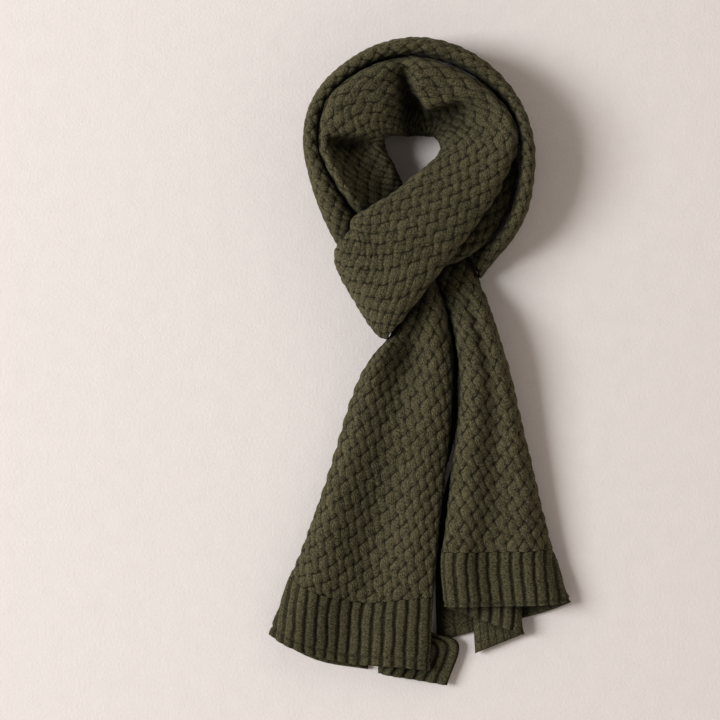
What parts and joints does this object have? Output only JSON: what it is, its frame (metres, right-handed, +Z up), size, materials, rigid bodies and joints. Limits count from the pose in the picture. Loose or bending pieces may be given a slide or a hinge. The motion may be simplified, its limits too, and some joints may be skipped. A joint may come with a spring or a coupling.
{
  "type": "knit scarf",
  "caption": "Basket-weave knit scarf with ribbed borders, folded lengthwise, doubled and looped through itself as a slip knot, laid flat.",
  "frame": {"origin": "on the surface the scarf lies on, under the middle of its bounding box", "axes": "+X right, +Y from the tails' hems to the neck ring, +Z up, away from the surface"},
  "size_m": [0.2729, 0.5848, 0.0544],
  "materials": {
    "knit_wool": "matt, soft wool, basket-weave relief",
    "rib_wool": "matt, soft wool, two-by-two rib",
    "hidden_wool": "matt wool, hidden layers"
  },
  "bodies": {
    "root": {"loop_outer": "knit_wool", "loop_front": "knit_wool", "band_under": "knit_wool", "tail_left": "knit_wool", "tail_right": "knit_wool", "rib_left": "rib_wool", "rib_right": "rib_wool", "rib_left_leaf": "rib_wool", "rib_right_pleat": "rib_wool", "layers_knot": "hidden_wool", "layers_left": "hidden_wool", "layers_right": "hidden_wool"}
  },
  "joints": []
}
